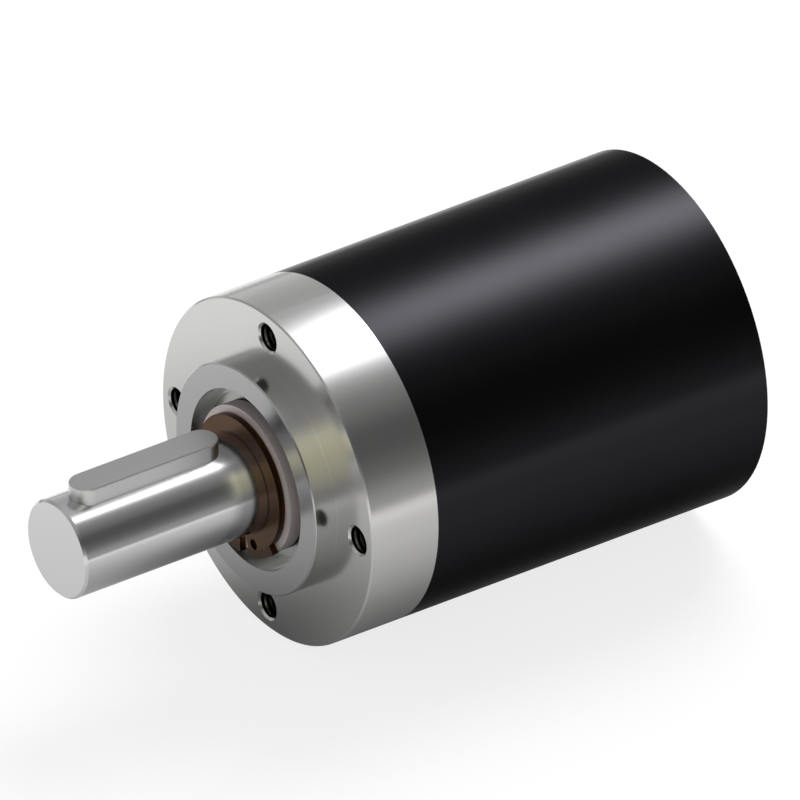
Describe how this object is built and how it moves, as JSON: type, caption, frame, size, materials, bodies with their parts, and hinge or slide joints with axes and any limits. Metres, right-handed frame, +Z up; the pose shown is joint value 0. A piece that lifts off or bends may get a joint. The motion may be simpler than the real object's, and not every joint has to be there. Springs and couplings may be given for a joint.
{
  "type": "planetary gearbox",
  "caption": "Round planetary gearbox: steel face flange with screw holes and a pilot boss, keyed output shaft, black housing tube, planet stages inside and a motor adapter at the back.",
  "frame": {"origin": "centre of the flange's front face, where the screw pattern meets the output axis", "axes": "+Y along the axis, back to the motor; the output shaft points to -Y; +Z up through the key"},
  "size_m": [0.042, 0.0843, 0.042],
  "materials": {
    "turned_steel": "turned and polished",
    "ground_steel": "ground",
    "key_steel": "satin",
    "black_coat": "semi-gloss black",
    "tempered_spring_steel": "brown oxide",
    "washer_steel": "satin",
    "bearing_steel": "ground and polished",
    "gear_steel": "case-hardened and ground",
    "adapter_aluminium": "clear anodised"
  },
  "bodies": {
    "housing": {"output_flange": "turned_steel", "gear_housing": "black_coat", "ring_gear": "gear_steel", "motor_adapter_plate": "adapter_aluminium", "front_bearing_outer_ring": "bearing_steel", "rear_bearing_outer_ring": "bearing_steel", "front_bearing_shield": "bearing_steel"},
    "output": {"output_shaft": "ground_steel", "shaft_key": "key_steel", "shaft_retaining_ring": "tempered_spring_steel", "shaft_support_ring": "washer_steel", "front_bearing_inner_ring": "bearing_steel", "rear_bearing_inner_ring": "bearing_steel", "carrier_end_plate": "ground_steel", "output_planet_pins": "bearing_steel"},
    "intermediate": {"intermediate_carrier": "ground_steel", "second_stage_sun": "gear_steel", "input_planet_pins": "bearing_steel"},
    "pinion": {"motor_pinion": "gear_steel"},
    "output_planet_1": {"output_planet_1": "gear_steel"},
    "output_planet_2": {"output_planet_2": "gear_steel"},
    "output_planet_3": {"output_planet_3": "gear_steel"},
    "input_planet_1": {"input_planet_1": "gear_steel"},
    "input_planet_2": {"input_planet_2": "gear_steel"},
    "input_planet_3": {"input_planet_3": "gear_steel"}
  },
  "joints": [
    {"name": "output_spin", "type": "hinge", "parent": "housing", "child": "output", "pos_m": [0, 0, 0], "axis": [0, 1, 0], "continuous": true},
    {"name": "intermediate_spin", "type": "hinge", "parent": "housing", "child": "intermediate", "pos_m": [0, 0.0339, 0], "axis": [0, 1, 0], "continuous": true},
    {"name": "pinion_spin", "type": "hinge", "parent": "housing", "child": "pinion", "pos_m": [0, 0.0413, 0], "axis": [0, 1, 0], "continuous": true},
    {"name": "output_planet_1_spin", "type": "hinge", "parent": "output", "child": "output_planet_1", "pos_m": [0, 0.0228, 0.01125], "axis": [0, 1, 0], "continuous": true},
    {"name": "output_planet_2_spin", "type": "hinge", "parent": "output", "child": "output_planet_2", "pos_m": [0.00974, 0.0228, -0.00562], "axis": [0, 1, 0], "continuous": true},
    {"name": "output_planet_3_spin", "type": "hinge", "parent": "output", "child": "output_planet_3", "pos_m": [-0.00974, 0.0228, -0.00562], "axis": [0, 1, 0], "continuous": true},
    {"name": "input_planet_1_spin", "type": "hinge", "parent": "intermediate", "child": "input_planet_1", "pos_m": [0, 0.0396, 0.01125], "axis": [0, 1, 0], "continuous": true},
    {"name": "input_planet_2_spin", "type": "hinge", "parent": "intermediate", "child": "input_planet_2", "pos_m": [0.00974, 0.0396, -0.00562], "axis": [0, 1, 0], "continuous": true},
    {"name": "input_planet_3_spin", "type": "hinge", "parent": "intermediate", "child": "input_planet_3", "pos_m": [-0.00974, 0.0396, -0.00562], "axis": [0, 1, 0], "continuous": true}
  ],
  "couplings": [
    {"joint": "intermediate_spin", "follows": "output_spin", "ratio": 4},
    {"joint": "pinion_spin", "follows": "output_spin", "ratio": 16},
    {"joint": "output_planet_1_spin", "follows": "output_spin", "ratio": -3},
    {"joint": "output_planet_2_spin", "follows": "output_spin", "ratio": -3},
    {"joint": "output_planet_3_spin", "follows": "output_spin", "ratio": -3},
    {"joint": "input_planet_1_spin", "follows": "output_spin", "ratio": -12},
    {"joint": "input_planet_2_spin", "follows": "output_spin", "ratio": -12},
    {"joint": "input_planet_3_spin", "follows": "output_spin", "ratio": -12}
  ]
}
